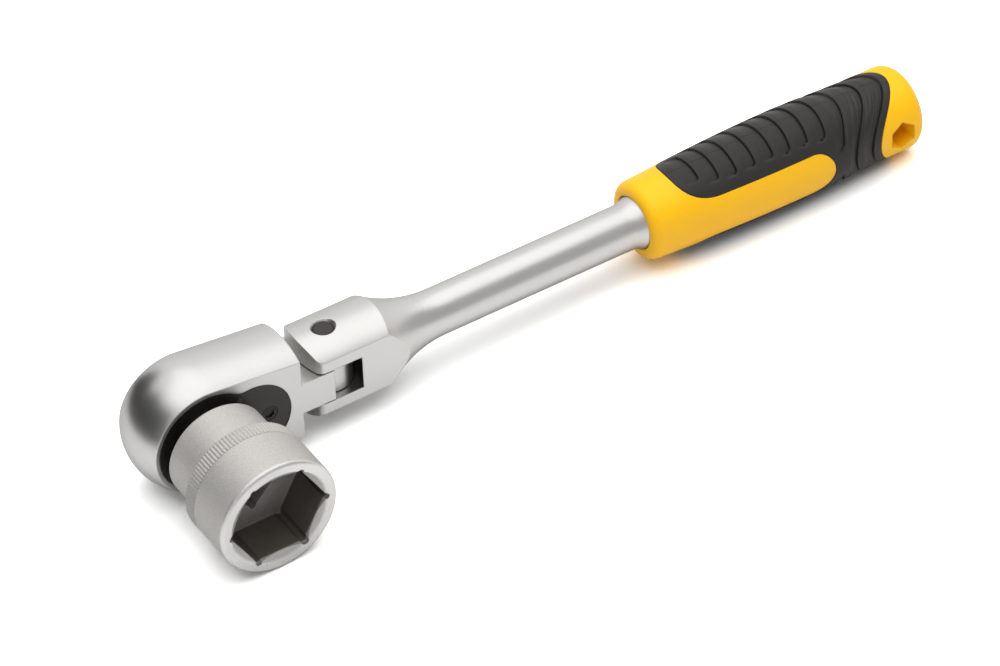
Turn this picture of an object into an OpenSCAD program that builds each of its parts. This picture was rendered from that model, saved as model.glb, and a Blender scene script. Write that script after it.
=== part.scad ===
// A flex head ratchet with its hex socket on the drive, lying on its side as it rests on a bench.
// X runs from the drive axis to the grip, -Y is the side that the drive points to, and Z runs
// along the flex pin. The origin is on the drive axis at half the head's thickness.

/* [Show] */
// Which piece is drawn

/* [Head] */
// Half of the head's thickness, between its two flat faces
head_half_t = 11.7; // [11.2:0.1:12.5]
// Radius of the head's flat face around the drive
head_r = 19.5; // [19:0.1:21]
// How far the rounded edge of the head stands out past its flat faces
head_crown = 3.3; // [2.4:0.1:4.2]
// X of the flat wall at the rear of the head
head_rear_x = 34.4; // [34:0.1:35]
// Half height of the head's flat face at that wall
head_rear_z = 15.6; // [15:0.1:16.6]
// Thickness of the wall behind the gear
back_wall_t = 3; // [2.6:0.1:3.4]
// Thickness of the cover plate
plate_t = 1.6; // [1.2:0.1:2]
// How deep the cover plate's face lies below the head's face
plate_recess = 0.2; // [0.1:0.05:0.4]
// Radius of the cover plate around the drive
plate_front_r = 18; // [17.6:0.1:18.2]
// Radius of the cover plate's rear lobe
plate_rear_r = 13.9; // [13.6:0.1:14.2]
// X of the middle of that lobe
plate_rear_x = 16.1; // [15.8:0.1:16.3]

/* [Ratchet] */
// Number of teeth on the gear
gear_teeth = 72; // [48:12:72]
// Radius of the gear over its teeth
gear_r = 14; // [13.8:0.05:14.1]
// Depth of a gear tooth
tooth_depth = 0.75; // [0.6:0.05:0.8]
// Width of the toothed band along the drive axis
tooth_band = 13; // [11:0.2:14]
// X of the reversing lever's axis
lever_x = 22.3; // [22:0.1:22.5]
// Angle that the lever is thrown to each side of its middle
lever_throw = 25; // [20:1:28]
// Angle that the pawl rocks to each side of its middle
pawl_rock = 3.5; // [3.2:0.1:3.8]

/* [Drive] */
// Side of the drive square, for half inch sockets
square_s = 12.65; // [12.6:0.01:12.75]
// Length of the drive square
square_len = 15.3; // [14.6:0.1:15.8]
// Radius of the shoulder that the square stands on
boss_r = 10.8; // [10.2:0.1:11.2]
// How far the shoulder stands out of the head's face
boss_stand = 3.6; // [3:0.1:4]
// Radius of the detent ball
ball_r = 2.25; // [2.1:0.05:2.3]
// How far the ball stands out of the square
ball_out = 0.45; // [0.35:0.05:0.55]
// Travel of the quick release button
button_travel = 2.5; // [2.2:0.1:2.6]

/* [Socket] */
// Distance between opposite flats of the hex recess
hex_af = 30.3; // [30.1:0.1:30.5]
// Depth of the hex recess
hex_depth = 17.4; // [16:0.2:18.4]
// Outer radius of the socket at its mouth
socket_r = 21; // [20.8:0.1:21.6]
// Radius of the socket's neck
neck_r = 17.5; // [16.8:0.1:18]
// Length of the socket
socket_len = 39; // [38:0.5:41]
// Length of the neck, up to its knurled band
neck_len = 16.4; // [15.8:0.1:17]
// Width of the knurled band
knurl_w = 5.5; // [4.5:0.1:6.5]
// Number of ridges in the knurled band
knurl_count = 108; // [84:12:108]

/* [Flex joint] */
// X of the flex pin
pin_x = 50; // [49.8:0.1:50.4]
// Radius of the flex pin
pin_r = 3.5; // [3.2:0.1:3.8]
// Half height of the tang that the head ends in
tang_half_z = 6; // [5.6:0.1:6.2]
// Radius of the tang's rounded end
tang_end_r = 8.8; // [8.4:0.1:9.4]
// Radius of the slot's hollow bottom, about the pin
slot_bottom_r = 13.6; // [13.2:0.1:14]
// Half thickness of the clevis
clevis_half_t = 11.7; // [11.3:0.1:12]
// Half height of the clevis at its middle
clevis_half_z = 14.8; // [14.4:0.1:15.2]
// Half height of the clevis's flat sides
clevis_flat_z = 10.5; // [10:0.1:11]
// X of the clevis's front end
clevis_x = 39.4; // [39:0.1:40]
// Radius of the clevis's front corners, seen along the pin
clevis_corner_r = 3; // [2:0.2:4]
// Radius of the friction plunger in the slot's bottom
plunger_r = 2.5; // [2.2:0.1:2.7]

/* [Shaft and grip] */
// Radius of the shaft
shaft_r = 8.1; // [7.8:0.1:8.4]
// X where the shaft's round part begins
shaft_x = 92; // [90:1:95]
// Radius that the shaft flares to where it goes into the grip
collar_r = 9.6; // [9:0.1:10]
// X of the grip's front end
grip_x = 169.5; // [166:0.5:173]
// Length of the grip
grip_len = 110; // [108:0.5:114]
// Radius of the grip at its front
grip_front_r = 14; // [13.6:0.1:14.4]
// Radius of the grip at its thickest
grip_mid_r = 16; // [15.6:0.1:16.4]
// Radius of the grip's end cap
grip_end_r = 15; // [14.6:0.1:15.4]
// Thickness of the rubber on the grip
rubber_t = 2.2; // [1.8:0.1:2.6]
// Half width of the bare stripe along each side of the grip
stripe_half = 7.9; // [7:0.1:8.6]
// Number of finger grooves across the rubber
groove_count = 11; // [8:1:11]
// Depth of a finger groove
groove_depth = 0.9; // [0.6:0.1:1.2]
// Distance across the flats of the six sided hang hole, at its mouth
hang_af = 9.2; // [8.4:0.1:10]

/* [Fits] */
// Radial gap of a shaft that turns in a bore
run_gap = 0.05; // [0.03:0.01:0.08]
// Gap between pieces that lie next to each other
seat_gap = 0.1; // [0.08:0.01:0.14]

/* [Hidden] */
$fn = 96;

// Places along the drive axis, counted from the head's middle towards the drive side
back_z = -head_half_t;
cavity_back_z = back_z + back_wall_t;
plate_top_z = head_half_t - plate_recess;
plate_under_z = plate_top_z - plate_t;
teeth_z0 = cavity_back_z + 0.3;
teeth_z1 = teeth_z0 + tooth_band;
boss_z = head_half_t + boss_stand;
square_z = boss_z + square_len;
socket_z0 = boss_z + 0.3;
socket_z1 = socket_z0 + socket_len;
ball_z = boss_z + 8;

bore_r = gear_r + 0.3;
hub_r = 8;
button_r = 5;
button_cap_r = 4;
rod_r = 2.2;
ball_rest = square_s / 2 + ball_out - ball_r;
ball_push = 0.9;
button_top_z = back_z - 0.9;
flange_z0 = back_z + 1.3;
flange_z1 = flange_z0 + 1.8;
clip_z = flange_z0 - 0.55;
chamber_z = flange_z1 + 7.6;

stem_r = 3.4;
pawl_hub_r = 6.3;
pawl_z0 = teeth_z0 + 0.1;
pawl_z1 = teeth_z1 - 0.1;
pawl_mid_z = (pawl_z0 + pawl_z1) / 2;
pawl_pad_from = 18;
pawl_pad_to = 31;
pawl_tooth_gap = 0.18;
pawl_out_r = 17.6;
tip_r = 1.2;
tip_reach = 5;
pocket_swing = 53;
screw_neck_r = 1.8;
screw_head_r = 2.75;
screw_head_t = 0.8;

rivet_angle = 42.5;
rivet_r = 1;
rivet_at = bore_r + rivet_r + 0.7;
rivet_z0 = plate_under_z - 3.4;

// Draws in the drive frame: its Z points to the drive side and its Y is the row's Z
module drive_frame() {
    rotate([90, 0, 0]) children();
}

// Draws along the handle: a revolved outline's axis becomes X
module along_x() {
    rotate([0, 90, 0]) children();
}

// Angle at which the head's round front meets its straight sides
side_angle = atan2(head_rear_z, head_rear_x) + acos(head_r / norm([head_rear_x, head_rear_z]));
// Radius of the rounded edge, whose chord is the head's thickness
crown_r = (head_half_t * head_half_t + head_crown * head_crown) / (2 * head_crown);

function arc(cx, cy, r, from, to, n) =
    [for (i = [0:n]) let (a = from + (to - from) * i / n) [cx + r * cos(a), cy + r * sin(a)]];

// Half of the head's section: its flat faces above and below, its rounded edge outside
module head_section() {
    intersection() {
        translate([0, -head_half_t]) square([head_r + head_crown + 1, 2 * head_half_t]);
        translate([head_r + head_crown - crown_r, 0]) circle(crown_r);
    }
}

module head_side() {
    intersection() {
        rotate([0, 0, side_angle - 90]) rotate([90, 0, 90]) linear_extrude(60) head_section();
        translate([-20, 0, -20]) cube([20 + head_rear_x, 40, 40]);
    }
}

module head_blank() {
    rotate([0, 0, side_angle]) rotate_extrude(angle = 360 - 2 * side_angle) head_section();
    head_side();
    mirror([0, 1, 0]) head_side();
}

// Outline of the cover plate: a round front, a round rear lobe and a hollow blend between them
blend_r = 6;
blend_a = plate_front_r + blend_r;
blend_b = plate_rear_r + blend_r;
blend_x = (plate_rear_x * plate_rear_x + blend_a * blend_a - blend_b * blend_b) / (2 * plate_rear_x);
blend_y = sqrt(blend_a * blend_a - blend_x * blend_x);
blend_from = atan2(blend_y, blend_x);
blend_to = atan2(blend_y, blend_x - plate_rear_x);

function plate_half(grow) = concat(
    arc(plate_rear_x, 0, plate_rear_r + grow, 0, blend_to, 20),
    arc(blend_x, blend_y, blend_r - grow, 180 + blend_to, 180 + blend_from, 8),
    arc(0, 0, plate_front_r + grow, blend_from, 180, 32)
);

// Closes a half outline that starts and ends on the X axis with its own mirror image
function both_halves(half) = concat(half, [for (i = [len(half) - 2:-1:1]) [half[i][0], -half[i][1]]]);

module plate_outline(grow) {
    polygon(both_halves(plate_half(grow)));
}

function tooth_points(tip, root) = [
    for (i = [0:2 * gear_teeth - 1])
        let (r = i % 2 == 0 ? tip : root, a = 180 / gear_teeth * i)
        [r * cos(a), r * sin(a)]
];

module rivet_places() {
    for (s = [-1, 1]) rotate([0, 0, s * rivet_angle]) translate([rivet_at, 0, 0]) children();
}

// The pocket behind the gear in which the pawl rocks
module pawl_pocket_outline() {
    difference() {
        polygon(concat([[0, 0]], arc(0, 0, pawl_out_r + 1.2, -pawl_pad_to - 5, pawl_pad_to + 5, 24)));
        circle(gear_r - 2);
    }
    translate([lever_x, 0]) circle(pawl_hub_r + 0.3);
}

module tang() {
    translate([head_rear_x - 6, -tang_half_z, -head_half_t])
        cube([pin_x - 3.4 - head_rear_x + 6, 2 * tang_half_z, 2 * head_half_t]);
    intersection() {
        rotate([90, 0, 0]) translate([pin_x, 0, -tang_half_z]) cylinder(r = tang_end_r, h = 2 * tang_half_z);
        translate([pin_x - 5, -10, -20]) cube([20, 20, 40]);
    }
}

module head_body() {
    color([0.74, 0.74, 0.72]) drive_frame() difference() {
        union() {
            head_blank();
            tang();
        }
        translate([0, 0, cavity_back_z]) cylinder(r = bore_r, h = 40);
        translate([0, 0, -20]) cylinder(r = hub_r + run_gap, h = 40);
        translate([0, 0, plate_under_z]) linear_extrude(20) plate_outline(seat_gap);
        translate([0, 0, cavity_back_z]) linear_extrude(40) pawl_pocket_outline();
        translate([lever_x, 0, -20]) cylinder(r = stem_r + run_gap, h = 40);
        rivet_places() translate([0, 0, rivet_z0]) cylinder(r = rivet_r, h = 20);
        rotate([90, 0, 0]) translate([pin_x, 0, -20]) cylinder(r = pin_r + run_gap, h = 40);
    }
}

module cover_plate() {
    color([0.28, 0.28, 0.27]) drive_frame() difference() {
        translate([0, 0, plate_under_z]) linear_extrude(plate_t) plate_outline(0);
        translate([0, 0, 5]) cylinder(r = boss_r + 0.15, h = 20);
        translate([lever_x, 0, 5]) cylinder(r = screw_neck_r + seat_gap, h = 20);
        translate([lever_x, 0, plate_top_z - screw_head_t - 0.1]) cylinder(r = screw_head_r + 0.15, h = 20);
        rivet_places() translate([0, 0, rivet_z0]) cylinder(r = rivet_r, h = 20);
    }
}

module plate_rivets() {
    color([0.6, 0.6, 0.58]) drive_frame() rivet_places() {
        translate([0, 0, rivet_z0]) cylinder(r = rivet_r, h = plate_top_z + 0.1 - rivet_z0);
    }
}

// The lever's stem turns in the back wall and carries the pawl, with the lever thrown to one side
module lever_frame() {
    drive_frame() translate([lever_x, 0, 0]) rotate([0, 0, -lever_throw]) children();
}

stem_end_z = plate_under_z - 0.3;
lever_t = 3.3;
lever_top_z = back_z - 0.2 - lever_t;
lever_disc_r = 6.8;
lever_tip_r = 2.6;
lever_tip_x = 10;

// The thumb lever seen from behind: a round disc that narrows to a rounded tip
module lever_outline() {
    flank = acos((lever_disc_r - lever_tip_r) / lever_tip_x);
    polygon(concat(
        arc(0, 0, lever_disc_r, flank, 360 - flank, 32),
        arc(lever_tip_x, 0, lever_tip_r, -flank, flank, 12)
    ));
}

module reverse_lever() {
    color([0.7, 0.7, 0.68]) lever_frame() difference() {
        union() {
            translate([0, 0, back_z - 0.5]) cylinder(r = stem_r, h = stem_end_z - back_z + 0.5);
            intersection() {
                translate([0, 0, lever_top_z]) linear_extrude(lever_t) lever_outline();
                translate([2, 0, lever_top_z + 25.6]) sphere(r = 26);
            }
        }
        translate([0, 0, stem_end_z - 5]) cylinder(r = 1.25, h = 10);
        translate([2.2, 0, pawl_mid_z]) rotate([0, -90, 0]) cylinder(r = tip_r + 0.05, h = 20);
    }
}

module lever_screw() {
    head_z = plate_top_z - screw_head_t - 0.05;
    color([0.5, 0.5, 0.48]) lever_frame() difference() {
        union() {
            translate([0, 0, stem_end_z - 4.6]) cylinder(r = 1.22, h = 5);
            translate([0, 0, stem_end_z + 0.02]) cylinder(r = screw_neck_r, h = head_z - stem_end_z + 0.2);
            translate([0, 0, head_z]) cylinder(r = screw_head_r, h = screw_head_t);
        }
        translate([0, 0, head_z + 0.25]) cylinder(r = 1.7, h = 4, $fn = 6);
    }
}

// A coil spring standing on the origin: one wire wound into turns, as rings joined by triangles
ring_sides = 6;
turn_rings = 8;

function coil_ring(mean_r, wire_r, rise, i) = [
    for (j = [0:ring_sides - 1])
        let (a = 360 / turn_rings * i, b = 360 / ring_sides * j, r = mean_r + wire_r * cos(b))
        [r * cos(a), r * sin(a), wire_r + rise * i + wire_r * sin(b)]
];

module coil(mean_r, wire_r, length, turns) {
    n = turns * turn_rings;
    rise = (length - 2 * wire_r) / n;
    rings = [for (i = [0:n]) coil_ring(mean_r, wire_r, rise, i)];
    gap = min([for (i = [0:n - turn_rings]) for (p = rings[i]) for (q = rings[i + turn_rings]) norm(p - q)]);
    echo("least gap between turns", gap);
    polyhedron(
        points = [for (ring = rings) for (p = ring) p],
        faces = concat(
            [[for (j = [0:ring_sides - 1]) j]],
            [for (i = [0:n - 1]) for (j = [0:ring_sides - 1]) let (a = ring_sides * i, k = (j + 1) % ring_sides)
                [a + j, a + ring_sides + k, a + k]],
            [for (i = [0:n - 1]) for (j = [0:ring_sides - 1]) let (a = ring_sides * i, k = (j + 1) % ring_sides)
                [a + j, a + ring_sides + j, a + ring_sides + k]],
            [[for (j = [ring_sides - 1:-1:0]) ring_sides * n + j]]
        )
    );
}

module lever_spring() {
    color([0.6, 0.6, 0.6]) lever_frame()
        translate([2.15, 0, pawl_mid_z]) rotate([0, -90, 0]) coil(0.85, 0.2, 4.2, 4);
}

module lever_plunger() {
    color([0.65, 0.65, 0.63]) lever_frame()
        translate([-2.1, 0, pawl_mid_z]) rotate([0, -90, 0]) rotate_extrude()
            polygon(concat([[0, 0], [tip_r, 0]], arc(0, tip_reach - 2.1 - tip_r, tip_r, 0, 90, 8)));
}

// One half of the pawl in its middle position: an arm from the hub and a toothed pad at its end
module pawl_half() {
    difference() {
        union() {
            difference() {
                polygon(concat([[0, 0]], arc(0, 0, pawl_out_r, 0, pawl_pad_to, 12)));
                circle(gear_r + 0.7);
            }
            difference() {
                polygon(concat([[0, 0]], arc(0, 0, gear_r + 1.2, pawl_pad_from, pawl_pad_to, 8)));
                circle(gear_r - tooth_depth + 0.1);
            }
        }
        translate([lever_x, 0]) rotate([0, 0, -pawl_rock]) translate([-lever_x, 0])
            polygon(tooth_points(gear_r + pawl_tooth_gap, gear_r - tooth_depth + pawl_tooth_gap));
    }
}

module pawl() {
    color([0.5, 0.5, 0.5]) drive_frame()
        translate([lever_x, 0, pawl_z0]) rotate([0, 0, pawl_rock]) difference() {
            union() {
                linear_extrude(pawl_z1 - pawl_z0) union() {
                    translate([-lever_x, 0]) pawl_half();
                    mirror([0, 1]) translate([-lever_x, 0]) pawl_half();
                    circle(pawl_hub_r);
                }
                cylinder(r = pawl_hub_r, h = plate_under_z - 0.1 - pawl_z0);
            }
            translate([0, 0, -1]) cylinder(r = stem_r + run_gap, h = 20);
            translate([0, 0, pawl_mid_z - pawl_z0 - tip_r - 0.2])
                linear_extrude(2 * tip_r + 0.4)
                polygon(concat([[0, 0]], arc(0, 0, tip_reach + 0.25, 180 - pocket_swing, 180 + pocket_swing, 14)));
        }
}

// The gear, its bearing flange, its shoulder and the drive square, bored for the release rod
module drive_gear() {
    color([0.55, 0.55, 0.54]) drive_frame() difference() {
        union() {
            translate([0, 0, teeth_z0]) linear_extrude(tooth_band + 1)
                polygon(tooth_points(gear_r, gear_r - tooth_depth));
            translate([0, 0, teeth_z1]) cylinder(r = bore_r - run_gap, h = plate_under_z - 0.1 - teeth_z1);
            translate([0, 0, plate_under_z - 1]) cylinder(r = boss_r, h = boss_z - plate_under_z + 1);
            translate([0, 0, back_z + 0.1]) cylinder(r = hub_r, h = 6);
            rotate([0, 0, 45]) translate([-square_s / 2, -square_s / 2, boss_z - 2])
                cube([square_s, square_s, square_len + 2]);
        }
        translate([0, 0, back_z - 1]) cylinder(r = button_r + run_gap, h = chamber_z - back_z + 1);
        translate([0, 0, clip_z - 0.35]) cylinder(r = button_r + 0.7, h = 0.7);
        translate([0, 0, -5]) cylinder(r = rod_r + run_gap, h = square_z - 1.2 + 5);
        rotate([0, 0, 45]) translate([0, 0, ball_z]) rotate([0, 90, 0]) {
            cylinder(r = ball_r + run_gap, h = square_s / 2 - 0.25);
            cylinder(r = 0.76 * ball_r, h = 20);
        }
        square_tip_cut();
    }
}

// Cuts the square's end to a cone, so that sockets slip on
tip_bevel = 2.4;
module square_tip_cut() {
    translate([0, 0, square_z - tip_bevel]) difference() {
        cylinder(r = 12, h = 4);
        translate([0, 0, -0.01]) cylinder(r1 = square_s / sqrt(2) + 0.03, r2 = square_s / 2 - 0.3, h = tip_bevel + 0.02);
    }
}

groove_mid_z = ball_z - button_travel;

module release_button() {
    color([0.72, 0.72, 0.7]) drive_frame() rotate_extrude() polygon([
        [0, button_top_z + 0.1],
        [button_cap_r - 0.8, button_top_z],
        [button_cap_r, button_top_z + 0.6],
        [button_cap_r, flange_z0],
        [button_r, flange_z0],
        [button_r, flange_z1],
        [rod_r, flange_z1],
        [rod_r, groove_mid_z - 2],
        [1.15, groove_mid_z - 1.2],
        [1.15, groove_mid_z + 1],
        [rod_r, groove_mid_z + 3.1],
        [rod_r, square_z - 5.2],
        [0, square_z - 4.4],
    ]);
}

module release_spring() {
    color([0.6, 0.6, 0.6]) drive_frame() translate([0, 0, flange_z1 + 0.05])
        coil(3.9, 0.4, chamber_z - flange_z1 - 0.1, 5);
}

module button_clip() {
    color([0.4, 0.4, 0.4]) drive_frame() translate([0, 0, clip_z - 0.3]) difference() {
        cylinder(r = button_r + 0.6, h = 0.6);
        translate([0, 0, -1]) cylinder(r = button_cap_r + 0.15, h = 3);
        translate([0, -1.2, -1]) cube([10, 2.4, 3]);
    }
}

module detent_ball() {
    color([0.8, 0.8, 0.8]) drive_frame() rotate([0, 0, 45])
        translate([ball_rest, 0, ball_z]) sphere(r = ball_r);
}

lead_in = 1.9;
lead_in_r = hex_af / 2 + 2.3;
hex_floor_z = socket_z1 - hex_depth;
hex_corner_r = hex_af / sqrt(3);
square_hole = square_s + 0.2;

module socket_outside() {
    knurl_z = socket_z0 + neck_len;
    rotate_extrude() polygon(concat(
        [[0, socket_z0], [neck_r - 0.9, socket_z0], [neck_r, socket_z0 + 0.9]],
        arc(neck_r + 2.6, knurl_z - 2.6 - 0.5, 2.6, 180, 90, 8),
        [[socket_r - 0.9, knurl_z - 0.5], [socket_r - 0.3, knurl_z]],
        [[socket_r - 0.3, knurl_z + knurl_w], [socket_r, knurl_z + knurl_w + 0.3]],
        arc(socket_r - 1.5, socket_z1 - 1.5, 1.5, 0, 90, 6),
        [[0, socket_z1]]
    ));
    translate([0, 0, knurl_z + 0.1]) linear_extrude(knurl_w - 0.2) polygon([
        for (i = [0:2 * knurl_count - 1])
            let (r = i % 2 == 0 ? socket_r : socket_r - 0.45, a = 180 / knurl_count * i)
            [r * cos(a), r * sin(a)]
    ]);
}

module socket() {
    color([0.72, 0.71, 0.69]) drive_frame() difference() {
        socket_outside();
        translate([0, 0, hex_floor_z]) cylinder(r = hex_corner_r, h = 40, $fn = 6);
        for (i = [0:5]) rotate([0, 0, 60 * i])
            translate([hex_corner_r - 0.75, 0, hex_floor_z]) cylinder(r = 1.3, h = 40);
        translate([0, 0, socket_z1 - lead_in])
            cylinder(r1 = hex_af / 2 - 0.4, r2 = lead_in_r, h = lead_in);
        rotate([0, 0, 45]) translate([-square_hole / 2, -square_hole / 2, socket_z0 - 1])
            cube([square_hole, square_hole, 40]);
        rotate([0, 0, 45]) for (i = [0:3]) rotate([0, 0, 90 * i + 45])
            translate([square_hole / sqrt(2) - 0.8, 0, socket_z0 - 1]) cylinder(r = 1.1, h = 40);
        for (i = [0:3]) rotate([0, 0, 90 * i + 45]) {
            translate([0, 0, ball_z]) rotate([0, 90, 0]) cylinder(r = 1.9, h = square_hole / 2 + 1);
            translate([ball_rest, 0, socket_z0 - 1]) cylinder(r = ball_r + run_gap, h = ball_z - socket_z0 + 1);
        }
        translate([0, 0, socket_z0 - 0.01]) cylinder(r1 = 9.2, r2 = 7.4, h = 1.8);
    }
}

// Section of the clevis: flat sides and a crowned top and bottom
clevis_crown_r = (clevis_half_t * clevis_half_t + pow(clevis_half_z - clevis_flat_z, 2))
    / (2 * (clevis_half_z - clevis_flat_z));

module clevis_section() {
    intersection() {
        square([2 * clevis_half_z + 1, 2 * clevis_half_t], center = true);
        translate([clevis_half_z - clevis_crown_r, 0]) circle(clevis_crown_r);
        translate([clevis_crown_r - clevis_half_z, 0]) circle(clevis_crown_r);
    }
}

// The hollow flare between the clevis and the shaft, as points of a revolved outline
flare_r = 43;
flare_len = 32;
flare_points = [
    for (i = [0:16]) let (a = asin(flare_len / flare_r) * (1 - i / 16))
    [shaft_r + flare_r - flare_r * cos(a), shaft_x - flare_r * sin(a)]
];

// The short hollow flare of the shaft that fills the grip's mouth
collar_run = 6;
collar_round_r = (collar_run * collar_run + pow(collar_r - shaft_r, 2)) / (2 * (collar_r - shaft_r));
collar_x = grip_x + 0.8;
collar_points = [
    for (i = [0:8]) let (a = asin(collar_run / collar_round_r) * i / 8)
    [shaft_r + collar_round_r - collar_round_r * cos(a), collar_x - collar_run + collar_round_r * sin(a)]
];

grip_end_x = grip_x + grip_len;
shaft_end_x = grip_end_x - 31;
shank_r = 6.6;
shank_x = grip_x + 8;
slot_half_z = tang_half_z + 0.4;
front_round_r = 30;
plunger_x = pin_x + tang_end_r + 0.15;
plunger_len = 12;
plunger_hole_x = plunger_x + plunger_len + 12;

// Cuts away what lies outside the rounding of one front corner of the clevis
module clevis_corner_cut() {
    round_x = clevis_x + front_round_r;
    inner_y = clevis_half_t - clevis_corner_r;
    slope = asin(inner_y / (front_round_r - clevis_corner_r));
    out = 2 * clevis_corner_r;
    translate([round_x - (front_round_r - clevis_corner_r) * cos(slope), -inner_y, -20]) linear_extrude(40)
        difference() {
            polygon([[0, 0], [-out * cos(slope), -out * sin(slope)], [-out, -out], [0, -out]]);
            circle(clevis_corner_r);
        }
}

module fork_shaft() {
    color([0.78, 0.78, 0.76]) difference() {
        intersection() {
            translate([clevis_x, 0, 0]) along_x() linear_extrude(shaft_end_x - clevis_x) clevis_section();
            along_x() rotate_extrude() polygon(concat(
                [[0, clevis_x - 1], [flare_points[0][0], clevis_x - 1]],
                flare_points,
                collar_points,
                [[shaft_r, collar_x], [shaft_r, shank_x], [shank_r, shank_x], [shank_r, shaft_end_x], [0, shaft_end_x]]
            ));
            union() {
                translate([clevis_x + front_round_r, 0, -20]) cylinder(r = front_round_r, h = 40);
                translate([clevis_x + front_round_r, -20, -20]) cube([shaft_end_x, 40, 40]);
            }
        }
        translate([0, 0, -slot_half_z]) linear_extrude(2 * slot_half_z) union() {
            translate([pin_x, 0]) circle(slot_bottom_r);
            translate([pin_x - 30, -20]) square([30, 40]);
        }
        clevis_corner_cut();
        mirror([0, 1, 0]) clevis_corner_cut();
        translate([pin_x, 0, -20]) cylinder(r = pin_r, h = 40);
        for (s = [0, 180]) rotate([s, 0, 0]) translate([pin_x, 0, clevis_half_z - 1.1])
            cylinder(r1 = pin_r, r2 = pin_r + 1.1, h = 1.4);
        translate([pin_x, 0, 0]) along_x() cylinder(r = plunger_r + run_gap, h = plunger_hole_x - pin_x);
    }
}

module flex_pin() {
    pin_half = clevis_half_z - 0.8;
    color([0.35, 0.35, 0.35]) translate([pin_x, 0, 0]) rotate_extrude() polygon([
        [0, -pin_half],
        [pin_r - 0.4, -pin_half],
        [pin_r, -pin_half + 0.4],
        [pin_r, pin_half - 0.4],
        [pin_r - 0.4, pin_half],
        [0, pin_half],
    ]);
}

module spring_washers() {
    washer_t = 0.3;
    color([0.5, 0.5, 0.5]) for (s = [0, 180]) rotate([s, 0, 0])
        translate([pin_x, 0, slot_half_z - washer_t - 0.03]) difference() {
            cylinder(r = 8, h = washer_t);
            translate([0, 0, -1]) cylinder(r = pin_r + 0.1, h = 3);
        }
}

module flex_plunger() {
    nose = 1.4;
    color([0.5, 0.5, 0.5]) translate([plunger_x, 0, 0]) along_x() rotate_extrude() polygon(concat(
        [[0, 0]],
        arc(plunger_r - nose, nose, nose, -90, 0, 6),
        [[plunger_r, plunger_len], [0, plunger_len]]
    ));
}

module flex_spring() {
    color([0.6, 0.6, 0.6]) translate([plunger_x + plunger_len + 0.05, 0, 0]) along_x()
        coil(plunger_r - 0.6, 0.45, plunger_hole_x - plunger_x - plunger_len - 0.1, 6);
}

// The grip's outline: a rounded lip, a slow swell to its middle, a slight waist and a rounded end
lip_r = 3.4;
swell_x = grip_x + 60.5;
waist_x = grip_end_x - 14;
end_round = 5;

function grip_r_at(x) =
    x < swell_x
        ? grip_front_r + (grip_mid_r - grip_front_r) * sin(90 * (x - grip_x - lip_r) / (swell_x - grip_x - lip_r))
        : x < waist_x
            ? grip_end_r + (grip_mid_r - grip_end_r) * (1 + cos(180 * (x - swell_x) / (waist_x - swell_x))) / 2
            : grip_end_r;

function grip_outline(inset) = concat(
    arc(grip_front_r - lip_r - inset, grip_x + lip_r + inset, lip_r, 270, 360, 6),
    [for (i = [1:23]) let (x = grip_x + lip_r + (waist_x - grip_x - lip_r) * i / 23) [grip_r_at(x) - inset, x]],
    arc(grip_end_r - end_round - inset, grip_end_x - end_round - inset, end_round, 0, 90, 8)
);

module grip_blank(inset) {
    along_x() rotate_extrude() polygon(concat(
        [[0, grip_x + inset]],
        grip_outline(inset),
        [[0, grip_end_x - inset]]
    ));
}

// Seen from the side, where the grip's hard plastic comes through to the surface
panel_x = grip_x + 11.5;
panel_round_x = 15;
panel_round_z = 10;
stripe_end_x = grip_x + 71;
cap_x = grip_end_x - 19.5;
cap_sweep = 12;

module bare_outline() {
    half = concat(
        [[grip_x - 5, 0], [grip_x - 5, 20], [panel_x, 20]],
        [for (i = [0:10]) let (a = 180 + 9 * i)
            [panel_x + panel_round_x * (1 + cos(a)), stripe_half + panel_round_z * (1 + sin(a))]],
        arc(stripe_end_x - stripe_half, 0, stripe_half, 90, 0, 10)
    );
    polygon(both_halves(half));
    polygon(concat(
        [[grip_end_x + 5, 18], [grip_end_x + 5, -18]],
        [for (i = [-12:12]) let (z = 1.5 * i) [cap_x + cap_sweep * pow(z / grip_end_r, 2), z]]
    ));
}

hang_x = grip_end_x - 10.4;

module hang_hole() {
    for (s = [90, -90]) translate([hang_x, 0, 0]) rotate([s, 0, 0]) rotate([0, 0, 30])
        translate([0, 0, -0.01]) cylinder(r1 = (hang_af - 1.8) / sqrt(3), r2 = (hang_af + 0.2) / sqrt(3), h = 16, $fn = 6);
}

module grip_core() {
    color([0.97, 0.76, 0.1]) difference() {
        union() {
            grip_blank(rubber_t);
            intersection() {
                grip_blank(0);
                rotate([90, 0, 0]) linear_extrude(60, center = true) bare_outline();
            }
        }
        along_x() {
            translate([0, 0, grip_x - 10]) cylinder(r = shaft_r + 0.02, h = shank_x - grip_x + 10);
            translate([0, 0, grip_x]) cylinder(r = shank_r + 0.02, h = shaft_end_x - grip_x + 0.5);
            translate([0, 0, grip_x - 10]) cylinder(r = collar_r + 0.02, h = collar_x - grip_x + 10);
        }
        hang_hole();
    }
}

groove_x0 = panel_x + 9.6;
groove_pitch = (cap_x - groove_x0) / (groove_count - 1);

// One finger groove: a long ramp down towards the rear and a steep step back up
module groove_ring(x, half_angle) {
    r = grip_r_at(x);
    run = groove_pitch * 0.72;
    along_x() rotate([0, 0, 180 - half_angle]) rotate_extrude(angle = 2 * half_angle) polygon([
        [grip_r_at(x - run) + 0.02, x - run],
        [r - groove_depth, x - 0.25],
        [r + 0.05, x],
        [r + 1.5, x],
        [r + 1.5, x - run],
    ]);
}

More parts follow.
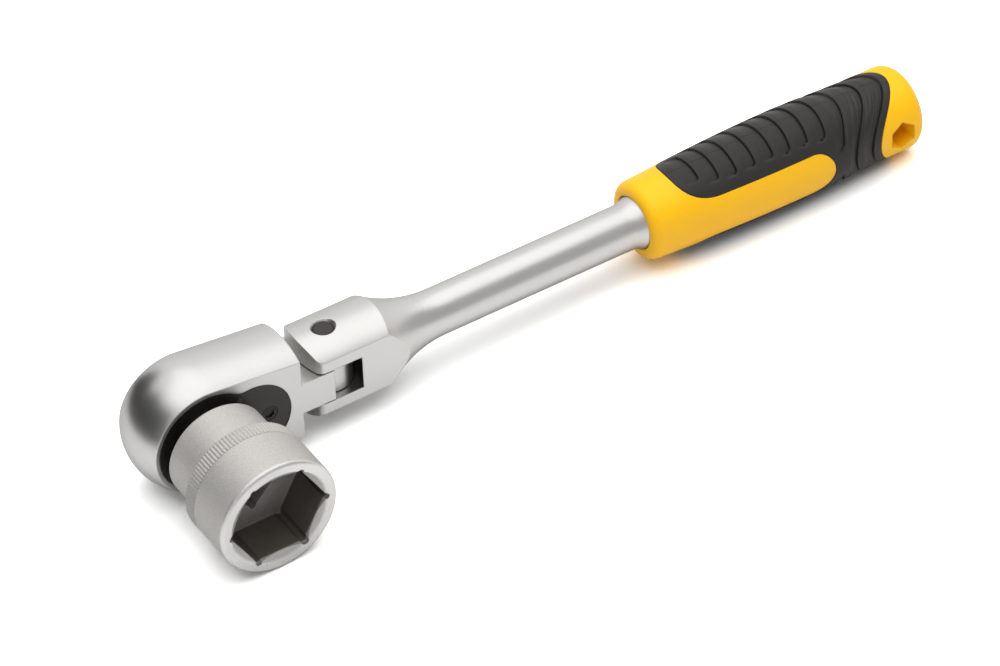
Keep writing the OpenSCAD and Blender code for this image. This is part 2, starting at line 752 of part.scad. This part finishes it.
module grip_rubber() {
    color([0.2, 0.2, 0.2]) difference() {
        grip_blank(0);
        grip_blank(rubber_t);
        rotate([90, 0, 0]) linear_extrude(60, center = true) bare_outline();
        for (k = [0:groove_count - 1]) {
            x = groove_x0 + groove_pitch * k;
            half_angle = k == 0 ? 30 : k < groove_count - 3 ? 45 : k < groove_count - 2 ? 69 : 90;
            groove_ring(x, half_angle);
            mirror([0, 0, 1]) groove_ring(x, half_angle);
        }
    }
}

fork_shaft();
flex_pin();
spring_washers();
flex_plunger();
flex_spring();
grip_core();
grip_rubber();
head_body();
cover_plate();
plate_rivets();
reverse_lever();
lever_screw();
lever_spring();
lever_plunger();
pawl();
drive_gear();
release_button();
release_spring();
button_clip();
detent_ball();
socket();
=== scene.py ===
import math

import bmesh
import bpy
import numpy as np
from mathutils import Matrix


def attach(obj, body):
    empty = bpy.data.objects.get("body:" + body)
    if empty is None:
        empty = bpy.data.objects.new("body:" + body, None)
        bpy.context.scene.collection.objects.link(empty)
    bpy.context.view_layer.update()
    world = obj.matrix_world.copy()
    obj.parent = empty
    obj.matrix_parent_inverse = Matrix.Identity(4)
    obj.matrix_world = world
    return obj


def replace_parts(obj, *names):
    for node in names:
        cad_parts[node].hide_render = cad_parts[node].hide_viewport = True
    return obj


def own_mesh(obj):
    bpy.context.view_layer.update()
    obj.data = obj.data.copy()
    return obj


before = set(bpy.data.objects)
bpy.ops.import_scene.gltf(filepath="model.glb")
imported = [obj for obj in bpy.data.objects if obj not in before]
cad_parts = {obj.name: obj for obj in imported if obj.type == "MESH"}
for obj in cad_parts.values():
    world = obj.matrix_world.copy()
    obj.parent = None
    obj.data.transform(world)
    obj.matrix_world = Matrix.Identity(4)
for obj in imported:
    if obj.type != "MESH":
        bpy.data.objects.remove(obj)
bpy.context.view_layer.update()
bpy.context.scene.view_settings.view_transform = "Standard"

# The bench: a wide sheet of white board. The ratchet lies on it on the head's rounded edge, on the
# socket's mouth and on the end of the grip, so the board slopes a little against the tool's own axes.
# The metal mirrors it a little darker than it is, and the camera alone sees it lifted.

bench_height = -0.022808
bench_along, bench_across = 0.02839, -0.03389
board_white, board_mirrored, board_lift = 0.92, 0.8, 0.52
bench_x, bench_y = np.meshgrid(np.linspace(-3.0, 3.2, 25), np.linspace(-3.0, 3.0, 25))


def grid_mesh(name, x, y, z, close_u=False, kept=None, flip=False, attributes=None):
    """A sheet through a grid of points, a quad between each four neighbours; close_u joins the last
    column to the first. Where kept is given, only quads with four kept points stay, and loose points
    go. Flip turns the faces over, and attributes holds a grid of numbers for each name."""
    rows, cols = x.shape
    v, u = np.meshgrid(np.arange(rows - 1), np.arange(cols if close_u else cols - 1), indexing="ij")
    u2 = (u + 1) % cols
    quads = np.stack([v * cols + u, v * cols + u2, (v + 1) * cols + u2, (v + 1) * cols + u], axis=-1)
    quads = quads.reshape(-1, 4)
    if kept is not None:
        quads = quads[kept.ravel()[quads].all(axis=1)]
    used, quads = np.unique(quads, return_inverse=True)
    quads = quads.reshape(-1, 4)[:, ::-1] if flip else quads.reshape(-1, 4)
    points = np.stack([x, y, z], axis=-1).reshape(-1, 3)[used]
    mesh = bpy.data.meshes.new(name)
    mesh.from_pydata(points.tolist(), [], quads.tolist())
    mesh.polygons.foreach_set("use_smooth", np.ones(len(quads), dtype=bool))
    for key, values in (attributes or {}).items():
        attribute = mesh.attributes.new(key, "FLOAT", "POINT")
        attribute.data.foreach_set("value", values.ravel()[used].astype(np.float32))
    obj = bpy.data.objects.new(name, mesh)
    bpy.context.scene.collection.objects.link(obj)
    return obj


def node_adder(tree):
    """A function that adds a node to this tree, with its settings and with what comes into it."""

    def add(kind, inputs=None, **settings):
        node = tree.nodes.new(kind)
        for key, value in settings.items():
            setattr(node, key, value)
        for key, value in (inputs or {}).items():
            if isinstance(value, bpy.types.NodeSocket):
                tree.links.new(value, node.inputs[key])
            else:
                node.inputs[key].default_value = value
        return node

    return add


def new_material(name):
    """A material that holds one Principled shader and its output, its tree and the tree's adder."""
    material = bpy.data.materials.new(name)
    material.use_nodes = True
    return material, material.node_tree, node_adder(material.node_tree)


bench = grid_mesh("bench", bench_x, bench_y,
                  bench_height + bench_along * bench_x + bench_across * bench_y)
white_board, tree, add = new_material("white_board")
shader = tree.nodes["Principled BSDF"]
shader.inputs["Roughness"].default_value = 0.9
shader.inputs["Specular IOR Level"].default_value = 0.0
path = add("ShaderNodeLightPath")
board = add("ShaderNodeMapRange", {"Value": path.outputs["Is Glossy Ray"],
                                   "To Min": board_white, "To Max": board_mirrored})
tree.links.new(board.outputs[0], shader.inputs["Base Color"])
lift = add("ShaderNodeMapRange", {"Value": path.outputs["Is Camera Ray"], "To Max": board_lift})
lifted = add("ShaderNodeBsdfDiffuse", {"Color": lift.outputs[0]})
both = add("ShaderNodeAddShader", {0: shader.outputs[0], 1: lifted.outputs[0]})
tree.links.new(both.outputs[0], tree.nodes["Material Output"].inputs["Surface"])
bench.data.materials.append(white_board)

# The studio: an even white surround, one wide soft light high overhead, a little behind, and a ring
# of panels that only the shiny metal shows: dark at the left, grey in front and a bright ceiling.

fill_strength, seen_strength = 0.25, 1.0
soft_box_size, soft_box_power = 2.4, 49
soft_box_place = np.array([0.1, 0.05, 1.65])
middle = np.array([0.12, 0, 0])
dark, grey, bright = 0.05, 0.5, 1.52

world = bpy.data.worlds.new("studio")
bpy.context.scene.world = world
world.use_nodes = True
tree = world.node_tree
add = node_adder(tree)
path = add("ShaderNodeLightPath")
seen = path.outputs["Is Camera Ray"]
for ray in ("Is Glossy Ray", "Is Transmission Ray"):
    seen = add("ShaderNodeMath", {0: seen, 1: path.outputs[ray]}, operation="MAXIMUM").outputs[0]
level = add("ShaderNodeMapRange", {"Value": seen, "To Min": fill_strength, "To Max": seen_strength})
tree.links.new(level.outputs[0], tree.nodes["Background"].inputs["Strength"])
tree.nodes["Background"].inputs["Color"].default_value = (1, 1, 1, 1)


def facing(place, right, up, back):
    """The matrix that puts an object at place, with its own X, Y and Z along right, up and back."""
    matrix = np.eye(4)
    matrix[:3, 0], matrix[:3, 1], matrix[:3, 2], matrix[:3, 3] = right, up, back, place
    return matrix.T.tolist()


def unit(vector):
    """The vector divided by its length."""
    return vector / np.linalg.norm(vector)


lamp = bpy.data.lights.new("soft_box", "AREA")
lamp.shape = "SQUARE"
lamp.size = soft_box_size
lamp.energy = soft_box_power
soft_box = bpy.data.objects.new("soft_box", lamp)
bpy.context.scene.collection.objects.link(soft_box)
back = unit(soft_box_place - middle)
right = unit(np.cross((0, 0, 1), back))
soft_box.matrix_world = facing(soft_box_place, right, np.cross(back, right), back)
soft_box.visible_glossy = False


def panel(name, strength, turn_from, turn_to, rise_from, rise_to, reach=1.2):
    """A patch of a sphere about the head: its points are reach times the cosine and sine of the turn
    about Z and of the rise above the bench. It glows evenly and shows in reflections alone."""
    turn, rise = np.meshgrid(np.radians(np.linspace(turn_from, turn_to, 40)),
                             np.radians(np.linspace(rise_from, rise_to, 9)))
    sheet = grid_mesh(name, reach * np.cos(turn) * np.cos(rise), reach * np.sin(turn) * np.cos(rise),
                      reach * np.sin(rise))
    cloth, tree, add = new_material(name + "_cloth")
    glow = add("ShaderNodeEmission", {"Strength": strength})
    tree.links.new(glow.outputs[0], tree.nodes["Material Output"].inputs["Surface"])
    sheet.data.materials.append(cloth)
    for ray in ("camera", "diffuse", "shadow", "transmission"):
        setattr(sheet, "visible_" + ray, False)


panel("left_screen", dark, 132, 204, -8, 50, reach=0.22)
panel("left_wing", dark, 94, 132, -8, 35, reach=0.22)
panel("front_screen", grey, 212, 350, -5, 49)
panel("ceiling", bright, 0, 360, 61, 89.9)
panel("ceiling_edge", bright, -50, 90, 45, 61)

# The camera: a long lens that looks down on the head from its left front.

swing, rise, roll, distance = -0.5510, 0.7200, -0.0400, 1.631
shift_right, shift_up = 0.002599, 0.017614

camera = bpy.data.objects.new("camera", bpy.data.cameras.new("camera"))
bpy.context.scene.collection.objects.link(camera)
bpy.context.scene.camera = camera
camera.data.lens = 180
camera.data.sensor_width = 36
camera.data.clip_end = 20
back = np.array([math.sin(swing) * math.cos(rise), -math.cos(swing) * math.cos(rise), math.sin(rise)])
level_right = np.array([math.cos(swing), math.sin(swing), 0])
level_up = np.cross(back, level_right)
right = math.cos(roll) * level_right + math.sin(roll) * level_up
up = -math.sin(roll) * level_right + math.cos(roll) * level_up
target = middle - shift_right * right - shift_up * up
camera.matrix_world = facing(target + distance * back, right, up, back)

# The head: a drop forging with a ball-like front and a flat tang behind. It is blasted, nickel and
# chrome plated to a fine satin, and its machined corners keep a small rounding that shines.

satin_chrome_colour = (0.64, 0.635, 0.62)
chrome_edge_tint = (0.62, 0.62, 0.61, 1)
# The rubbed metal's colour and roughness, and the roughness under the socket's oily film and under the
# painted shade in the fork's slot.
rubbed_colour, rubbed_rough, film_and_shade_rough = (0.74, 0.73, 0.71), 0.26, 0.36
bump_distance = 0.0001


def dress(node, material):
    """Gives one of the CAD's nodes this material alone."""
    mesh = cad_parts[node].data
    mesh.materials.clear()
    mesh.materials.append(material)


def noise(add, place, scale, detail):
    """Noise from 0 to 1 over place, with scale cells a metre and this many finer layers."""
    return add("ShaderNodeTexNoise", {"Vector": place, "Scale": scale, "Detail": detail}).outputs[0]


def fade(add, value, start, end, low=0.0, high=1.0):
    """Low where value is start, high where it's end, straight between them and held beyond."""
    return add("ShaderNodeMapRange", {"Value": value, "From Min": start, "From Max": end,
                                      "To Min": low, "To Max": high}).outputs[0]


def times(add, first, *others):
    """The values multiplied together."""
    for other in others:
        first = add("ShaderNodeMath", {0: first, 1: other}, operation="MULTIPLY").outputs[0]
    return first


def mix(add, share, value, other):
    """The number value, moved by share towards other."""
    return add("ShaderNodeMix", {"Factor": share, 2: value, 3: other}).outputs[0]


def tint(add, share, colour, other):
    """The colour, moved by share towards other. Each is a node socket or red, green and blue."""
    ends = {key: end if isinstance(end, bpy.types.NodeSocket) else (*end, 1)
            for key, end in ((6, colour), (7, other))}
    return add("ShaderNodeMix", {"Factor": share, **ends}, data_type="RGBA").outputs[2]


def shade(colour, factor):
    """The colour times factor, with no part over 1."""
    return [min(1, part * factor) for part in colour]


def finish(add, tree, colour, rough, height, grain, corner):
    """Links colour and roughness, and bumps by height on corners that are rounded by this radius."""
    inputs = tree.nodes["Principled BSDF"].inputs
    rounded = add("ShaderNodeBevel", {"Radius": corner}, samples=6)
    bump = add("ShaderNodeBump", {"Strength": grain, "Distance": bump_distance, "Height": height,
                                  "Normal": rounded.outputs[0]})
    tree.links.new(colour, inputs["Base Color"])
    tree.links.new(rough, inputs["Roughness"])
    tree.links.new(bump.outputs[0], inputs["Normal"])


def plated(name, colour, rough, grain, grain_size, corner, wear=0.025, mottle=0.06, metal=1.0,
           soil_and_shade=None, soil_and_shade_colour=None, rubbed=None):
    """Plated steel: rounded corners, a blasted grain of the stated height and size, slow clouds in
    its polish, a dark colour where the dark mask gives a node socket above 0, which is an oily film
    in the socket's recess and painted shade in the fork's slot, and bright bare metal where rubbed
    does. Sizes are in metres."""
    material, tree, add = new_material(name)
    inputs = tree.nodes["Principled BSDF"].inputs
    inputs["Metallic"].default_value = metal
    inputs["Specular Tint"].default_value = chrome_edge_tint
    place = add("ShaderNodeTexCoord").outputs["Object"]
    cloud = noise(add, place, 55, 4)
    fleck = noise(add, place, 0.8 / grain_size, 2)
    fine = noise(add, place, 1 / grain_size, 3)
    colour = tint(add, fleck, shade(colour, 1 - mottle), shade(colour, 1 + mottle))
    rough = fade(add, cloud, 0.3, 0.7, rough - wear, rough + wear)
    # The dark mask is a real oily film in the socket's recess and painted shade in the fork's slot.
    if soil_and_shade:
        film_and_shade = soil_and_shade(add, place, cloud)
        colour = tint(add, film_and_shade, colour, soil_and_shade_colour)
        rough = mix(add, film_and_shade, rough, film_and_shade_rough)
    if rubbed:
        bare = rubbed(add, place, cloud)
        colour = tint(add, bare, colour, rubbed_colour)
        rough = mix(add, bare, rough, rubbed_rough)
        tree.links.new(mix(add, bare, metal, 1.0), inputs["Metallic"])
    finish(add, tree, colour, rough, fine, grain, corner)
    return material


dress("head_body", plated("head_satin_chrome", satin_chrome_colour, rough=0.34,
                          grain=0.2, grain_size=0.0003, corner=0.0005))

# Inside the head: the gear with its square, the pawl, the springs and plungers and the ball. They are
# hardened steel, bare and oiled, and only the square's end shows through the socket.

oiled_steel = plated("oiled_steel", (0.42, 0.41, 0.395), rough=0.3,
                     grain=0.15, grain_size=0.0003, corner=0.0002)
spring_wire = plated("spring_wire", (0.36, 0.35, 0.34), rough=0.24,
                     grain=0.1, grain_size=0.0002, corner=0.00008)
for node in ("drive_gear", "pawl", "lever_plunger", "flex_plunger", "detent_ball"):
    dress(node, oiled_steel)
for node in ("lever_spring", "flex_spring", "button_clip", "spring_washers"):
    dress(node, spring_wire)

# The release spring: five turns of round wire about the button's rod, between the button's flange and
# the floor of the gear's chamber. It's a piece of its own here, at its full length; the real spring
# shortens when the button goes in.

coil_radius, wire_radius, coil_turns = 0.0039, 0.0004, 5
flange_y, chamber_y, button_travel = 0.00855, 0.00105, 0.0025
coil_share, wire_turn = np.meshgrid(np.linspace(0, 1, 24 * coil_turns + 1),
                                    np.linspace(0, 2 * math.pi, 12, endpoint=False), indexing="ij")


def coil_mesh(name, share, wire_turn):
    """A wire wound about the Y axis. Share runs from 0 at the flange to 1 at the chamber's floor and
    gives the turn and the height of the wire's middle, and wire_turn goes round the wire. Its ends
    are closed and its faces turned outwards."""
    out = coil_radius + wire_radius * np.cos(wire_turn)
    angle = 2 * math.pi * coil_turns * share
    y = (flange_y - wire_radius - (flange_y - chamber_y - 2 * wire_radius) * share
         - wire_radius * np.sin(wire_turn))
    obj = grid_mesh(name, out * np.cos(angle), y, out * np.sin(angle), close_u=True)
    shell = bmesh.new()
    shell.from_mesh(obj.data)
    bmesh.ops.holes_fill(shell, edges=shell.edges)
    bmesh.ops.recalc_face_normals(shell, faces=shell.faces)
    shell.to_mesh(obj.data)
    shell.free()
    return obj


release_coil = coil_mesh("release_coil", coil_share, wire_turn)
release_coil.data.materials.append(spring_wire)
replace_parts(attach(release_coil, "drive"), "release_spring")
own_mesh(release_coil)

# The cover plate: sheet steel, pressed to a pear shape and blackened, let into the head's drive side
# and held by two small rivets and the screw on the lever's axis.

dress("cover_plate", plated("blackened_plate", (0.062, 0.061, 0.059), rough=0.42,
                            grain=0.25, grain_size=0.0003, corner=0.0003))
dress("plate_rivets", plated("blackened_fixings", (0.16, 0.14, 0.125), rough=0.34,
                             grain=0.15, grain_size=0.0002, corner=0.0002))
dress("lever_screw", plated("blackened_screw", (0.05, 0.047, 0.044), rough=0.4,
                            grain=0.15, grain_size=0.0002, corner=0.0002))

# The reversing lever and the release button on the head's back: small castings, polished brighter
# than the head and plated.

polished_chrome = plated("polished_chrome", (0.68, 0.675, 0.66), rough=0.17,
                         grain=0.08, grain_size=0.0003, corner=0.0006)
dress("reverse_lever", polished_chrome)
dress("release_button", polished_chrome)

# The socket: turned and broached from bar, tumbled and plated to a coarse pearl grey. Its recess has
# thin plating and keeps an oily dark film that ends at the lead-in.

# The mouth and the recess's floor along the drive axis, how far behind the mouth its rubbed ring ends
# and the film begins, and how far out the film ends and the ring begins
mouth_y, recess_floor_y = -0.0546, -0.0372
ring_deep, film_out, ring_out = 0.0016, 0.0187, 0.0166


def along_and_out(add, place):
    """A place's Y and its distance from the drive axis."""
    axis = add("ShaderNodeSeparateXYZ", {0: place})
    flat = add("ShaderNodeCombineXYZ", {0: axis.outputs[0], 2: axis.outputs[2]})
    length = add("ShaderNodeVectorMath", {0: flat.outputs[0]}, operation="LENGTH")
    return axis.outputs[1], length.outputs["Value"]


def recess_film(add, place, cloud):
    """A film where a point is inside the recess: between its floor and the lead-in, and hardly further
    from the drive axis than the recess's corners are. Its ends are soft."""
    y, out = along_and_out(add, place)
    within = fade(add, out, film_out, film_out - 0.0004)
    behind_lead_in = fade(add, y, mouth_y + ring_deep, mouth_y + ring_deep + 0.0007)
    before_floor = fade(add, y, recess_floor_y + 0.0002, recess_floor_y - 0.0008)
    patchy = fade(add, cloud, 0.25, 0.75, 0.84, 0.97)
    return times(add, within, behind_lead_in, before_floor, patchy)


def rubbed_mouth(add, place, cloud):
    """One on the ring at the socket's mouth, where the plating is rubbed bright by use: from the
    lead-in's rim outwards and within 1.6 mm of the mouth's face. The cloud dims it in places."""
    y, out = along_and_out(add, place)
    outwards = fade(add, out, ring_out, ring_out + 0.0006)
    at_mouth = fade(add, y, mouth_y + ring_deep, mouth_y + ring_deep - 0.0008)
    return times(add, outwards, at_mouth, fade(add, cloud, 0.35, 0.65, 0.7, 1.0))


dress("socket", plated("pearl_chrome", (0.475, 0.461, 0.44), rough=0.44, grain=1.0,
                       grain_size=0.0004, corner=0.0006, wear=0.04, mottle=0.25, metal=0.4,
                       soil_and_shade=recess_film, soil_and_shade_colour=(0.095, 0.078, 0.065), rubbed=rubbed_mouth))

# The fork and shaft: one forging, turned round behind the fork, slotted for the head's tang and
# plated like the head. Deep in the slot, where shade falls, the colour is painted near black: painted
# shade.

# The pin's place, and where the painted shade deep in the slot ends: ahead of the pin, and just inside
# the ears' inner sides, inside the fork's flat sides and behind the slot's bottom
pin_place = (0.05, 0, 0)
shade_front, shade_high, shade_aside, shade_back = 0.0475, 0.0062, 0.01168, 0.0138


def slot_painted_shade(add, place, cloud):
    """Painted shade on the slot's bottom: between the ears, no further from the pin's axis than the
    bottom, behind the tang's middle and not on the fork's own flat sides. It is even, without the
    cloud."""
    axis = add("ShaderNodeSeparateXYZ", {0: place})
    aside = add("ShaderNodeMath", {0: axis.outputs[1]}, operation="ABSOLUTE").outputs[0]
    height = add("ShaderNodeMath", {0: axis.outputs[2]}, operation="ABSOLUTE").outputs[0]
    from_pin = add("ShaderNodeVectorMath", {0: place, 1: pin_place}, operation="SUBTRACT").outputs[0]
    flat = add("ShaderNodeVectorMath", {0: from_pin, 1: (1, 1, 0)}, operation="MULTIPLY").outputs[0]
    out = add("ShaderNodeVectorMath", {0: flat}, operation="LENGTH").outputs["Value"]
    behind = fade(add, axis.outputs[0], shade_front, shade_front + 0.003)
    return times(add, fade(add, height, shade_high, shade_high - 0.0002), behind,
                 fade(add, aside, shade_aside, shade_aside - 0.00028),
                 fade(add, out, shade_back, shade_back - 0.0001))


# The near black colour deep in the fork's slot is painted shade.
dress("fork_shaft", plated("shaft_satin_chrome", satin_chrome_colour, rough=0.32, grain=0.2,
                           grain_size=0.0003, corner=0.0005,
                           soil_and_shade=slot_painted_shade, soil_and_shade_colour=(0.012, 0.011, 0.01)))
dress("flex_pin", plated("pin_black", (0.075, 0.068, 0.064), rough=0.36,
                         grain=0.2, grain_size=0.0003, corner=0.0004))

# The grip's core: hard polypropylene, moulded onto the shank in one yellow colour, with a fine
# spark-eroded texture from its mould.

# How deep the seam and slit lines bump in, how dark they are painted (the mould's seam, and painted
# shade in the slits) and how pale the streaks are.
line_depth, seam_tone_and_painted_shade, streak_shade = 1.5, 0.15, 2.2


def moulded(name, colour, rough, wear, grain, grain_size, gloss, corner, seam_and_shade_lines=None, streaks=None):
    """A moulded surface: the mould's grain, slow changes of gloss and slight mottling of its colour.
    Where lines gives a node socket, lines sink into it and are painted dark: the mould's seam, and
    painted shade in the slits. Where streaks does, it is paler."""
    material, tree, add = new_material(name)
    tree.nodes["Principled BSDF"].inputs["Specular IOR Level"].default_value = gloss
    place = add("ShaderNodeTexCoord").outputs["Object"]
    cloud = noise(add, place, 70, 5)
    height = noise(add, place, 1 / grain_size, 3)
    shown = tint(add, cloud, shade(colour, 0.93), shade(colour, 1.05))
    if seam_and_shade_lines:
        seam_and_shade_line = seam_and_shade_lines(add, place)
        height = add("ShaderNodeMath", {0: seam_and_shade_line, 1: -line_depth, 2: height},
                     operation="MULTIPLY_ADD").outputs[0]
        shown = tint(add, seam_and_shade_line, shown, shade(colour, seam_tone_and_painted_shade))
    if streaks:
        shown = tint(add, streaks(add, place), shown, shade(colour, streak_shade))
    rough = fade(add, cloud, 0.3, 0.7, rough - wear, rough + wear)
    finish(add, tree, shown, rough, height, grain, corner)
    return material


dress("grip_core", moulded("yellow_plastic", (1.0, 0.52, 0.006), rough=0.42, wear=0.05, grain=0.12,
                           grain_size=0.0003, gloss=0.28, corner=0.0006))

# The grip's soft skin: black thermoplastic rubber, moulded over the core and flush with it. Eleven
# finger ramps run down to steep steps that curl forward at their ends, and a seam follows its top.

# Sizes here are in mm. The grip's ends and its thickest and thinnest places, then the outline of the
# rubber as seen from the side: the nose's corner, the bare stripe's round end and the cap's curve
grip_front, grip_end = 169.5, 279.5
swell_at, waist_at = grip_front + 60.5, grip_end - 14
curve_from = grip_front + 3.4
nose_x, nose_long, nose_high = 196, 15, 10
stripe_x, stripe_half = 232.6, 7.9
cap_x, cap_sweep, cap_half = 260, 12, 15
girth = 15.6

# Each step's place on the grip's top, how far it reaches down each side and how far it leans forward
step_at = np.array([191.5, 198.3, 205.1, 212.4, 219.6, 226.9, 234.2, 241.5, 250.4, 260.0, 268.8])
step_reach = np.radians([30, 40, 43, 43, 43, 45, 45, 48, 70, 100, 100])
step_lean = [1.0, 1.0, 1.0, 1.0, 1.0, 2.6, 3.0, 3.4, 6.0, 10.2, 12.0]

# How far before its step each ramp begins, the length over which it sinks, its depth, the power that
# shapes it and the rounding of its corners; its slit's depth, place, width and length, and the length
# over which the slit begins; and where the step's wall starts and how wide it is
ramp_ahead, ramp_long, ramp_deep, ramp_power, corner_round = 5.2, 5.0, 0.75, 0.85, 1.7
slit_deep, slit_from_wall, slit_wide, slit_long, slit_start = 0.8, 0.24, 0.12, 3.0, 1.5
wall_from, wall_wide = 0.02, 0.34

# The skin's ends, its thickness and how far it stands proud of the core. Its edge rounds down over a
# width to a depth, a skirt goes on into the core at a slope until it ends, and the ramps start inside
skin_front, skin_end = 180.6, 273.3
skin_wall, skin_proud = 1.1, 0.05
edge_wide, edge_deep, skirt_slope, edge_kept, ramp_inset = 0.7, 0.55, 0.9, 0.75, 1.2


def grip_radius(x):
    """The grip's radius: a quarter sine up from its front to the swell, then half a cosine down to
    the waist before the end cap."""
    rise = 14 + 2 * np.sin(np.pi / 2 * (x - curve_from) / (swell_at - curve_from))
    fall = 15 + (1 + np.cos(np.pi * np.clip((x - swell_at) / (waist_at - swell_at), 0, 1))) / 2
    return np.where(x < swell_at, rise, fall)


def smooth(t):
    """Three t squared minus two t cubed, with t held between 0 and 1."""
    t = np.clip(t, 0, 1)
    return t * t * (3 - 2 * t)


def skin_inset(x, z):
    """How far a point lies inside the rubber's outline as seen from the side: from the nose and its
    corner, a quarter ellipse, from the bare stripe's round end and from the cap's curve, which
    sweeps back with the square of the height."""
    z = np.abs(z)
    ahead, below = np.maximum(nose_x - x, 0), np.maximum(stripe_half + nose_high - z, 0)
    share = np.hypot(ahead / nose_long, below / nose_high)
    slope = np.maximum(np.hypot(ahead / nose_long ** 2, below / nose_high ** 2), 0.01)
    nose = np.where(share < 0.3, 10, (1 - share) * share / slope)
    stripe = np.hypot(np.maximum(x - stripe_x, 0), z) - stripe_half
    cap_slope = 2 * cap_sweep * z / cap_half ** 2
    cap = (cap_x + cap_sweep * (z / cap_half) ** 2 - x) / np.sqrt(1 + cap_slope ** 2)
    return np.minimum(np.where(x < stripe_x, nose, stripe), cap)


def ramp_depth(x, turn):
    """Depth of the finger ramps, where x is where a row crosses the grip's top. Each sinks evenly
    towards its step, inside an outline whose rear corners are rounded, and its wall rises over a
    third of a millimetre from a narrow slit, a bell curve across, that follows the wall. The second
    array is the slit alone, the mask of the painted shade in the slits."""
    depth, painted_slit_shade = np.zeros_like(x), np.zeros_like(x)
    along = np.abs(np.abs(turn) - np.pi / 2) * girth
    for at, reach in zip(step_at, step_reach):
        side, rear = along - (reach * girth - corner_round), x - (at - corner_round)
        outline = (np.hypot(np.maximum(rear, 0), np.maximum(side, 0)) - corner_round
                   + np.minimum(np.maximum(rear, side), 0))
        wall = smooth((wall_from - outline) / wall_wide)
        ramp = ramp_deep * np.clip((x - at + ramp_ahead) / ramp_long, 0, 1) ** ramp_power * wall
        slit_and_painted_shade = (np.exp(-((outline + slit_from_wall) / slit_wide) ** 2)
                * smooth((x - at + slit_long) / slit_start))
        depth, painted_slit_shade = np.maximum(depth, ramp + slit_deep * slit_and_painted_shade), np.maximum(painted_slit_shade, slit_and_painted_shade)
    return depth, painted_slit_shade


# Rows every 0.45 mm or so, and six close together at each step
rows = np.linspace(skin_front, skin_end, 209)
extra = (step_at[:, None] + np.array([-0.5, -0.36, -0.24, -0.12, 0.0, 0.08])).ravel()
rows = np.sort(np.concatenate([rows[np.abs(rows[:, None] - extra).min(axis=1) > 0.1], extra]))
skin_row, skin_turn = np.meshgrid(rows, np.linspace(-np.pi, np.pi, 244, endpoint=False), indexing="ij")
skin_x = skin_row - np.interp(skin_row, step_at, step_lean) * np.cos(skin_turn) ** 2
full = grip_radius(skin_x)
inset = skin_inset(skin_x, full * np.sin(skin_turn))
edge = np.clip(inset / edge_wide, 0, 1)
sunk, painted_slit_shade = ramp_depth(skin_row, skin_turn)
radius = (full + skin_proud - edge_deep * (1 - np.sqrt(1 - (1 - edge) ** 2))
          - sunk * smooth(inset / ramp_inset))
skirt = full + skin_proud - edge_deep + skirt_slope * np.maximum(inset, -1)
radius = np.where(inset < 0, skirt, radius)
skin = grid_mesh("rubber_skin", skin_x / 1000, -radius * np.cos(skin_turn) / 1000,
                 radius * np.sin(skin_turn) / 1000, close_u=True, kept=inset > -edge_kept, flip=True,
                 attributes={"row": skin_row / 1000, "slit_and_painted_shade": painted_slit_shade})
wall = skin.modifiers.new("wall", "SOLIDIFY")
wall.thickness = skin_wall / 1000
wall.offset = -1

# Half the width of the mould's seam and how dark it is, and how fine the streaks are across and along
seam_half, seam_dark = 0.00024, 0.7
streaks_across, streaks_along = 1800, 70


def seam_and_painted_slit_shade(add, place):
    """One in the slits, where shade is painted, less on the plane through the grip's top and bottom,
    where the mould's halves met, and else 0."""
    across = add("ShaderNodeSeparateXYZ", {0: place}).outputs[1]
    aside = add("ShaderNodeMath", {0: across}, operation="ABSOLUTE").outputs[0]
    seam = fade(add, aside, seam_half, seam_half - 0.00014, 0.0, seam_dark)
    # The slits' mask from the mesh: the rubber is painted dark there as painted shade.
    slit_and_painted_shade = add("ShaderNodeAttribute", attribute_name="slit_and_painted_shade").outputs["Fac"]
    return add("ShaderNodeMath", {0: seam, 1: slit_and_painted_shade}, operation="MAXIMUM").outputs[0]


def flow_streaks(add, place):
    """Thin pale lines round the grip behind the bare stripe, where the rubber flowed together: noise
    squeezed along the rows, kept at its peaks alone."""
    row = add("ShaderNodeAttribute", attribute_name="row").outputs["Fac"]
    row = times(add, row, streaks_across)
    around = add("ShaderNodeVectorMath", {0: place, 1: (streaks_along,) * 3}, operation="MULTIPLY")
    axis = add("ShaderNodeSeparateXYZ", {0: around.outputs[0]})
    squeezed = add("ShaderNodeCombineXYZ", {0: row, 1: axis.outputs[1], 2: axis.outputs[2]})
    along = add("ShaderNodeSeparateXYZ", {0: place}).outputs[0]
    return times(add, fade(add, noise(add, squeezed.outputs[0], 1, 2), 0.56, 0.74),
                 fade(add, along, 0.244, 0.25))


# The rubber's slits are painted near black: painted shade under the steps.
skin.data.materials.append(moulded("black_rubber", (0.026, 0.0242, 0.0225), rough=0.48, wear=0.07,
                                   grain=0.35, grain_size=0.0003, gloss=0.24, corner=0.0002,
                                   seam_and_shade_lines=seam_and_painted_slit_shade, streaks=flow_streaks))
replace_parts(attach(skin, "handle"), "grip_rubber")
